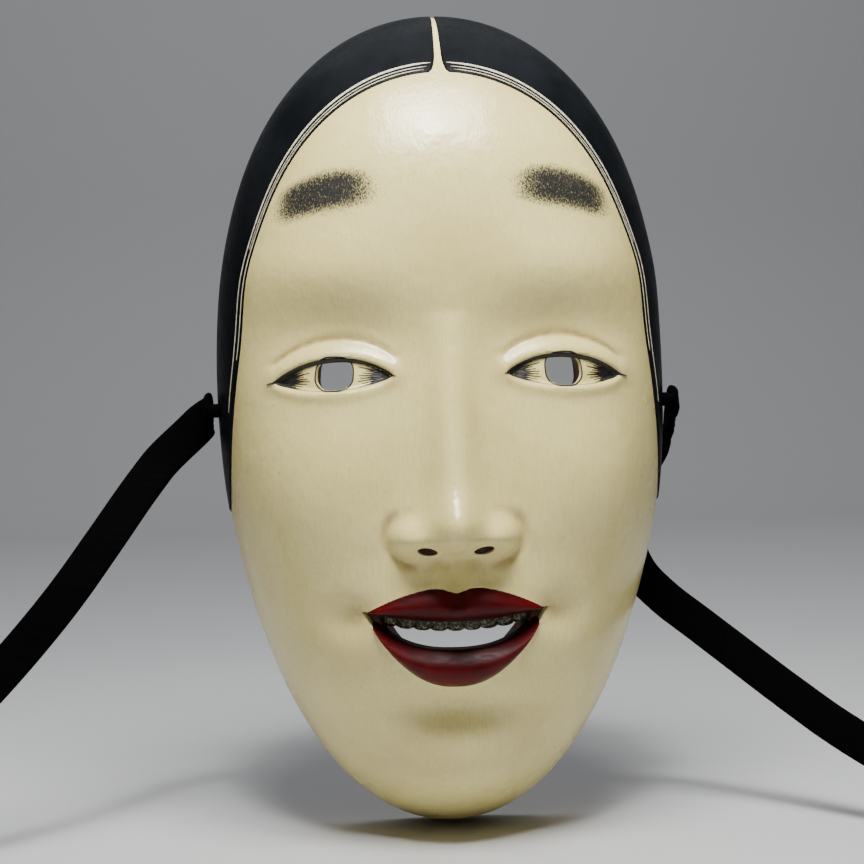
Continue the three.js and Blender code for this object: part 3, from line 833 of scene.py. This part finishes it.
def squared(wave):
    """A wave with broad tops, for a loop with rounded corners."""
    return np.sign(wave) * np.abs(wave) ** 0.4


def make_tie(name, side):
    """Three turns of narrow tape round the waist of the bow, knotted on top."""
    middle = np.array([side * HANK_X, HANK_Y + 1.0, LYING_Z])
    turn = circle(96)
    half_y = HANK_WAIST + 1.5 * HANK_PITCH + 0.6
    half_z = CORD_WIDTH / 2 + 0.35
    parts = []
    for k, shift in enumerate(TAPE_TURNS):
        x = shift + 0.35 * np.sin(turn + k)
        ring = np.stack([x, squared(np.cos(turn)) * half_y, squared(np.sin(turn)) * half_z], 1)
        ahead = unit(np.roll(ring, -1, 0) - np.roll(ring, 1, 0))
        across = np.broadcast_to((1.0, 0, 0), ring.shape)
        upward = unit(np.cross(across, ahead))
        parts.append(sweep(ring + middle, across, upward, TAPE_SECTION, closed=True))
    top = middle + (0, -3.0, half_z + 0.9)
    parts.append(trefoil(0.72, np.eye(3), top, (1.2, 0.8)))
    for reach in (-1, 1):
        end = top + (reach * 8.5, 2.5 + reach, -0.4)
        parts.append(stub(top, end, ((1.0, 0.5), (1.3, 0.3)), (0, 1, 0)))
    return new_object(f"tape_tie_{name}", parts)


braid = make_braid("braid", 0.0008)
tape = make_braid("tape", 0.0016)
for name, side in SIDES:
    cord, line, length = make_cord(name, side)
    dress(cord, braid, "cord_black", f"cord_{name}", f"cord_{name}_hank")
    ends = [
        dress(make_stop_knot(name, side), braid, "cord_black", f"cord_{name}_stop_knot"),
        dress(make_end_knot(name, side, line[-1]), braid, "cord_black", f"cord_{name}_end_knot"),
        dress(make_tie(name, side), tape, "tie_black", f"cord_{name}_hank_tie"),
    ]

# ---------- openings ----------

def pupil_outline(side, grow=0.0):
    w, h, r = PUPIL_WIDTH / 2 + grow, PUPIL_HEIGHT / 2 + grow, PUPIL_CORNER + grow * 0.7
    points = []
    for cx, cz, start in ((w - r, h - r, 0), (r - w, h - r, 1), (r - w, r - h, 2), (w - r, r - h, 3)):
        for k in range(9):
            turn = math.pi / 2 * (start + k / 8)
            points.append((cx + r * math.cos(turn), cz + r * math.sin(turn)))
    x, z = np.array(points).T
    return side * EYE_X + x, EYE_Z + 0.2 + z


def mouth_outline():
    xs = np.linspace(-MOUTH_X, MOUTH_X, 121)
    return np.concatenate([xs, xs[-2:0:-1]]), np.concatenate([mouth_low(xs), mouth_top(xs)[-2:0:-1]])


def nostril_outline(side):
    turn = circle(32)
    x, z = NOSTRIL_HALF_X * np.cos(turn), NOSTRIL_HALF_Z * np.sin(turn)
    return side * (NOSTRIL_X + x * 0.97 - z * 0.25), NOSTRIL_Z + z * 0.97 + x * 0.22


def side_drill(side):
    turn = circle(36)
    ring = [CORD_HOLE_Y + CORD_HOLE_RADIUS * np.cos(turn), CORD_HOLE_Z + CORD_HOLE_RADIUS * np.sin(turn)]
    path = np.array([(side * x, 0, 0) for x in CORD_HOLE_X])
    section = np.stack(ring, -1)
    axes = [np.broadcast_to(axis, (2, 3)) for axis in ((0.0, 1.0, 0.0), (0.0, 0.0, 1.0))]
    return new_object("drill", [sweep(path, *axes, section)], smooth=False)


def pierce(obj, slot_spread=(1, 1), pupil_spread=(1, 1)):
    cutters = [tunnel("slot", *mouth_outline(), front=10, back=-18, spread=slot_spread)]
    for _, side in SIDES:
        nostril = nostril_outline(side)
        if side < 0:
            nostril = nostril[0][::-1], nostril[1][::-1]
        pupil = pupil_outline(side)
        cutters.append(tunnel("pupil", *pupil, front=10, back=-14, spread=pupil_spread))
        cutters.append(tunnel("nostril", *nostril, front=6, back=-22, rise=NOSTRIL_RISE))
        cutters.append(side_drill(side))
    for cutter in cutters:
        carve(obj, cutter)
    discard(*cutters)


def sharpen(obj, degrees=38):
    """Smooth faces with hard edges where the surface turns sharply."""
    mesh = bmesh.new()
    mesh.from_mesh(obj.data)
    limit = math.radians(degrees)
    for face in mesh.faces:
        face.smooth = True
    for edge in mesh.edges:
        edge.smooth = len(edge.link_faces) == 2 and edge.calc_face_angle(0) < limit
    mesh.to_mesh(obj.data)
    mesh.free()


# ---------- hair ----------

HAIR_LOW, HAIR_HIGH = 0.1, 0.42  # the paint's height at its edge and on its body
HAIR_TOP = 0.998  # the outer edge, as a share of the way to the rim
HAIR_SUNK = 0.15  # how deep its underside lies
HAIR_GRID, STRAND_GRID = (300, 48), (420, 60)  # steps along and across
SIDE_END = 0.992 * HAIR_END
# distance from the hair's edge, width, and the share of the edge at which it runs out
STRANDS = ((3.5, 0.78, 0.86), (2.15, 0.36, 0.6), (1.05, 0.38, 0.78))


def hairline(angle):
    turn = np.clip(np.abs(angle) / HAIR_END, 0, 1)
    return 1 - HAIR_BAND * np.cos(math.pi / 2 * turn) ** HAIR_TAPER


def hair_grid(side, along, across):
    """Share, angle, and the steps across and along, over one mass of hair."""
    k = np.linspace(0, 1, along + 1)[None, :]
    j = np.linspace(0, 1, across + 1)[:, None]
    low = share_of(hairline(SIDE_END * k))
    share = low + (HAIR_TOP - low) * j
    corner = 1 - np.sqrt(1 - (1 - np.clip(j / 0.17, 0, 1)) ** 2)
    bare = PARTING + PARTING_SPREAD * (1 - j) ** 1.5 + PARTING_CORNER * corner
    start = bare / (HEIGHT / 2)
    return share, side * (start + (SIDE_END - start) * k), j, k


def over_gofun(points):
    """Keeps a coat in front of the rim."""
    points[..., 1] = np.minimum(points[..., 1], -SETBACK - 0.2)
    return points


def make_hair(name, side):
    share, angle, j, k = hair_grid(side, *HAIR_GRID)
    rounded = np.sqrt(1 - (1 - np.clip(j / 0.05, 0, 1)) ** 2)
    end = np.sqrt(1 - (1 - np.clip(np.minimum(k, 1 - k) / 0.004, 0, 1)) ** 2)
    lift = HAIR_LOW + (HAIR_HIGH - HAIR_LOW) * rounded * end
    front = over_gofun(surface(radius_of(share), angle, lift))
    back = over_gofun(surface(radius_of(share), angle, -HAIR_SUNK * np.ones_like(lift)))
    hair = new_object(f"hair_{name}", [closed_sheet(front, back)])
    drill = side_drill(side)
    carve(hair, drill)
    discard(drill)
    sharpen(hair, 50)
    return hair


def strand(side, distance, width, start, stop):
    """One pale line painted along the hair's edge."""
    share, angle, _, k = hair_grid(side, *STRAND_GRID)
    points = surface(radius_of(share), angle, HAIR_HIGH)
    across = np.concatenate([np.zeros((1, share.shape[1])),
                             np.cumsum(np.linalg.norm(np.diff(points, axis=0), axis=-1), 0)])
    part = (k[0] >= start) & (k[0] <= stop)
    t = (k[0][part] - start) / (stop - start)
    ends = np.sqrt(1 - (2 * np.clip(t, 0, 1) - 1) ** 10)
    thin = (1 - 0.5 * ramp(0.25, 0.9, t)) * np.maximum(ends, 0.05)
    near = distance * (1 - 0.22 * ramp(0.15, 0.85, t))
    rows = np.linspace(-0.5, 0.5, 7)[:, None]
    away = near + rows * width * thin
    columns = np.flatnonzero(part)

    def read_off(values):
        found = [np.interp(away[:, i], across[:, c], values[:, c]) for i, c in enumerate(columns)]
        return np.stack(found, 1)

    at, turned = read_off(share), read_off(angle)
    lift = HAIR_HIGH + 0.04 + 0.06 * (1 - (2 * rows) ** 4) * np.ones_like(away)
    front = over_gofun(surface(radius_of(at), turned, lift))
    back = over_gofun(surface(radius_of(at), turned, HAIR_HIGH - 0.2 + 0 * lift))
    return closed_sheet(front, back)


def make_strands(name, side):
    parts = [strand(side, distance, width, 0.006 * (1 + i), stop)
             for i, (distance, width, stop) in enumerate(STRANDS)]
    return new_object(f"strand_lines_{name}", parts)


# ---------- the wooden shell and its white coat ----------

SKIN_ACROSS = crowded(264, (-0.34, 0.17, 0.9), (0.34, 0.17, 0.9), (0, 0.12, 0.4))
SKIN_UP = crowded(316, (0.08, 0.09, 1.3), (-0.36, 0.1, 1.3), (-0.2, 0.08, 0.5))
COARSE_ACROSS, COARSE_UP = np.linspace(-1, 1, 111), np.linspace(-1, 1, 151)
HOLLOW_ACROSS, HOLLOW_UP = np.linspace(-1, 1, 221), np.linspace(-1, 1, 301)
GOUGE_WIDTH, GOUGE_LENGTH = 6.4, 15.0


def scatter(a, b):
    """An even, repeatable number from 0 to 1 for each pair of whole numbers."""
    value = np.sin(a * 127.1 + b * 311.7) * 43758.5453
    return value - np.floor(value)


def gouges(x, z):
    """Shallow scoops of a hand gouge, side by side: how far they dip, and where the ridges between them
    are.
    """
    lane = x / GOUGE_WIDTH + 0.35 * np.sin(z / 23) + 0.12 * np.sin(z / 7.1 + x / 9)
    column = np.floor(lane)
    along = z / GOUGE_LENGTH + scatter(column, 3.0)
    row = np.floor(along)
    across, down = 2 * (lane - column) - 1, 2 * (along - row) - 1
    depth = 0.45 + 0.4 * scatter(column, row)
    ridge = np.maximum(np.abs(across) ** 7, (0.6 + 0.4 * scatter(row, column)) * np.abs(down) ** 12)
    return depth * (1 - across ** 2) * (1 - 0.55 * down ** 2), ridge


def hollow(x, z):
    nose_room = 7.0 * bump(x, z, 0, -20, 11, 16)
    chin_room = 2.5 * bump(x, z, 0, -82, 18, 12)
    return nose_room + chin_room + 2.0 * bump(np.abs(x), z, 32, -20, 20, 22) + gouges(x, z)[0]


def stains(x, z):
    """How much age shows at each place of the white coat."""
    side = np.abs(x)
    over, under, u = lid_distance(x, z)
    fold = 0.85 * np.exp(-(((over - 4.9) / 0.6) ** 2)) * (1 - ramp(0.85, 1.2, np.abs(u)))
    inner = 0.5 * bump(side, z, 14.2, 10.5, 3.4, 2.6)
    wing = 0.5 * np.exp(-(((wing_distance(x, z) - 6.9) / 1.4) ** 2)) * ramp(7, 12, side)
    base = 0.4 * bump(x, z, 0, -35.4, 9, 1.8) + 0.2 * bump(side, z, 8, 16, 5, 9)
    corner = 0.6 * bump(side, z, 24.3, -46.5, 3.4, 2.8)
    chin = 0.12 * bump(x, z, 0, -69.6, 12, 2.0)
    radius, angle = polar(x, z)
    border = np.where(np.abs(angle) < HAIR_END, hairline(angle), 1.0)
    edge = 0.22 * np.exp(-(((border - radius) / 0.03) ** 2)) + 0.3 * ramp(0.93, 1.0, radius)
    return np.clip(fold + inner + wing + base + corner + chin + edge, 0, 0.9)


def brow_ink(x, z):
    """How thickly the brow is stippled, high on the forehead."""
    side = np.abs(x)
    s = (side - 29.0) / 14.5
    middle = 57.5 - 2.4 * (s + 0.1) ** 2 - 1.6 * s
    v = np.abs(z - middle) / (5.6 - 1.1 * s ** 2)
    solid = (1 - ramp(0.3, 1.4, v)) * (1 - ramp(0.5, 1.15, s)) * (1 - ramp(0.2, 1.2, -s))
    return 0.18 + 0.47 * solid


def make_skin():
    skin = dome_solid("gofun_skin", SKIN_ACROSS, SKIN_UP, 0.0, -SETBACK, SETBACK, ground_coat)
    under = dome_solid("under", COARSE_ACROSS, COARSE_UP, -GOFUN, rim_y=SETBACK * 1.5, back_y=4.0)
    carve(skin, under)
    discard(under)
    pierce(skin)
    sharpen(skin)
    x, _, z = places(skin)
    paint(skin, "stain", stains(x, z))
    paint(skin, "brow", brow_ink(x, z))
    return skin


def make_shell():
    below = -GOFUN - COAT_GAP
    shell = dome_solid("carved_shell", COARSE_ACROSS, COARSE_UP, below, rim_y=0.0, back_y=0.6)
    trim = dome_solid("trim", HOLLOW_ACROSS, HOLLOW_UP, -WALL, rim_y=0.9, back_y=6.0, relief=hollow)
    carve(shell, trim)
    discard(trim)
    pierce(shell, (1, 2.6), (1.7, 1.7))
    sharpen(shell)
    x, y, z = places(shell)
    inside = ramp(-1.0, -3.0, y)
    paint(shell, "ridge", 0.5 * gouges(x, z)[1] * inside + 0.35 * (1 - inside))
    return shell


# ---------- lips and teeth ----------

LIP_HEIGHT = 0.14
INTO_SLOT = 0.25
WRAP_DEPTH = 2.4


def lip_patch(name, reach, edge, slot, into, dark):
    """Paint over one lip, from its outline to the slot and a little way in.

    The slot lies below the lip when into is -1 and above it when into is 1.
    """
    x = np.linspace(-reach, reach, 201)[None, :]
    j = np.linspace(0, 1, 41)[:, None]
    w = np.linspace(0, 1, 13)[1:, None]
    z = np.concatenate([edge(x) + (slot(x) - edge(x)) * j, slot(x) + into * INTO_SLOT * np.ones_like(w)])
    raised = 0.02 + LIP_HEIGHT * np.clip(j / 0.05, 0, 1) ** 0.5
    lift = np.concatenate([raised, raised[-1] - WRAP_DEPTH * w]) * np.ones_like(x)
    behind = np.concatenate([z[:len(j)], slot(x) - into * 0.5 * np.ones_like(w)])
    under = np.concatenate([-0.8 * np.ones_like(j), -0.8 - (WRAP_DEPTH - 0.5) * w]) * np.ones_like(x)
    x = np.broadcast_to(x, z.shape)
    lip = new_object(name, [closed_sheet(skin_at(x, z, lift), skin_at(x, behind, under))])
    # painted shade: dark sets how much shade is painted on the lip towards the slot, the wrap inside the
    # slot is painted fully dark, and the outline gets a thin darker band
    outer = dark * ramp(0.45, 1.0, j) + 0.3 * (1 - ramp(0.0, 0.12, j))
    painted_shade_and_outline = np.concatenate([outer, dark + (1 - dark) * w]) * np.ones_like(x)
    paint(lip, "painted_shade_and_outline", np.tile(np.clip(painted_shade_and_outline, 0, 1).ravel(), 2))
    return lip


TOOTH_WIDTH = 4.2
TEETH_REACH = 17.6


def make_teeth():
    x = np.linspace(-TEETH_REACH, TEETH_REACH, 241)[None, :]
    j = np.linspace(0, 1, 25)[:, None]
    phase = np.abs(((x / TOOTH_WIDTH + 0.5) % 1) - 0.5) * 2
    low = mouth_top(x) - 2.7 - 0.45 * (1 - phase ** 3)
    z = low + (mouth_top(x) + 1.6 - low) * j
    x = np.broadcast_to(x, z.shape)
    belly = 0.8 * (1 - phase ** 2.6) - 1.1 * (1 - np.clip(j / 0.22, 0, 1)) ** 2
    arch = surface(*polar(x, np.full_like(x, -50.0)), 0.0, lambda a, b: 4.0 * bump(a, b, 0, -50, 24, 17))
    front = np.stack([x, arch[..., 1] + 4.0 - belly, z], -1)
    back = np.stack([x, arch[..., 1] + 7.3, z], -1)
    return new_object("blackened_teeth", [closed_sheet(front, back)])


# ---------- painted eyes ----------

def stroke(x, z, width, lift):
    """A painted line on the face, through points of the plan, with a width at each."""
    along = np.stack([np.gradient(x), np.gradient(z)], -1)
    side_x, side_z = unit(along)[:, 1], -unit(along)[:, 0]
    rows = np.linspace(0.5, -0.5, 5)[:, None]
    gx, gz = x + rows * width * side_x, z + rows * width * side_z
    height = 0.015 + lift * (1 - (2 * rows) ** 2) * np.ones_like(gx)
    return closed_sheet(skin_at(gx, gz, height), skin_at(gx, gz, -0.2 + 0 * gx))


def eye_point(side, u, v):
    return side * (EYE_X + u * EYE_HALF), EYE_Z + v


def make_eye_paint(name, side):
    """Ink round one eye: the lash line, fine strokes from both corners and a ring round the hole."""
    parts = []
    u = np.linspace(-1.04, 1.13, 90)
    past_corner = -1.5 - 2.2 * (u - 1)
    lid = np.where(u > 1, past_corner, upper_lid(np.clip(u, -1, 1)))
    v = lid - 0.55 * np.clip(1 - u * u, 0, 1) ** 0.5
    body = np.clip(1 - ((u - 0.045) / 1.085) ** 2, 0, 1) ** 0.6
    parts.append(stroke(*eye_point(side, u, v), 0.12 + 0.95 * body, 0.3))
    u = np.linspace(-0.98, 1.0, 60)
    body = np.clip(np.abs(u) - 0.35, 0, 1)
    parts.append(stroke(*eye_point(side, u, lower_lid(u) + 0.3), 0.08 + 0.32 * body, 0.1))
    for end in (-1, 1):
        corner_v = -1.0 - 0.5 * end
        for k in range(9):
            share = k / 8
            reach = 0.36 + 0.16 * scatter(float(k), float(end + 5)) + 0.08 * abs(share - 0.5)
            stop = end * reach
            low, high = lower_lid(stop) + 0.5, upper_lid(stop) - 1.0
            t = np.linspace(0, 1, 34)
            u = end * 0.985 + (stop - end * 0.985) * t
            target = low + (high - low) * share
            v = corner_v + (target - corner_v) * t ** 0.85
            v = np.clip(v, lower_lid(u) + 0.35, upper_lid(u) - 0.25)
            swell = np.sin(math.pi * np.clip(t * 0.94 + 0.06, 0, 1)) ** 0.8
            width = 0.1 + (0.95 - 0.2 * (k % 3)) * swell * (1 - t) ** 0.7
            parts.append(stroke(*eye_point(side, u, v), width, 0.13 + 0.004 * k))
    x, z = pupil_outline(side, 0.22)
    x, z = np.append(x, x[:2]), np.append(z, z[:2])
    parts.append(stroke(x, z, np.full_like(x, 0.4), 0.14))
    return new_object(f"eye_paint_{name}", parts)


# ---------- building ----------

dress(make_skin(), make_gofun(), "white_gofun", "gofun_coat")
dress(make_shell(), make_wood(), "cypress_wood", "wooden_shell")
hair_paint, strand_paint, ink = make_hair_paint(), make_strand_paint(), make_ink()
for name, side in SIDES:
    dress(make_hair(name, side), hair_paint, "hair_black", f"hair_coat_{name}")
    dress(make_strands(name, side), strand_paint, "white_gofun")
    dress(make_eye_paint(name, side), ink, "hair_black")
lip_paint = make_lip_paint()
# the upper lip gets more painted shade (0.8) than the lower (0.3), as it faces down
upper = lip_patch("upper_lip", UPPER_LIP_X, upper_lip_edge, mouth_top, -1, 0.8)
dress(upper, lip_paint, "lip_red", "upper_lip_coat")
lower = lip_patch("lower_lip", LOWER_LIP_X, lower_lip_edge, mouth_low, 1, 0.3)
dress(lower, lip_paint, "lip_red", "lower_lip_coat")
dress(make_teeth(), make_tooth_paint(), "blackened_teeth", "upper_teeth")
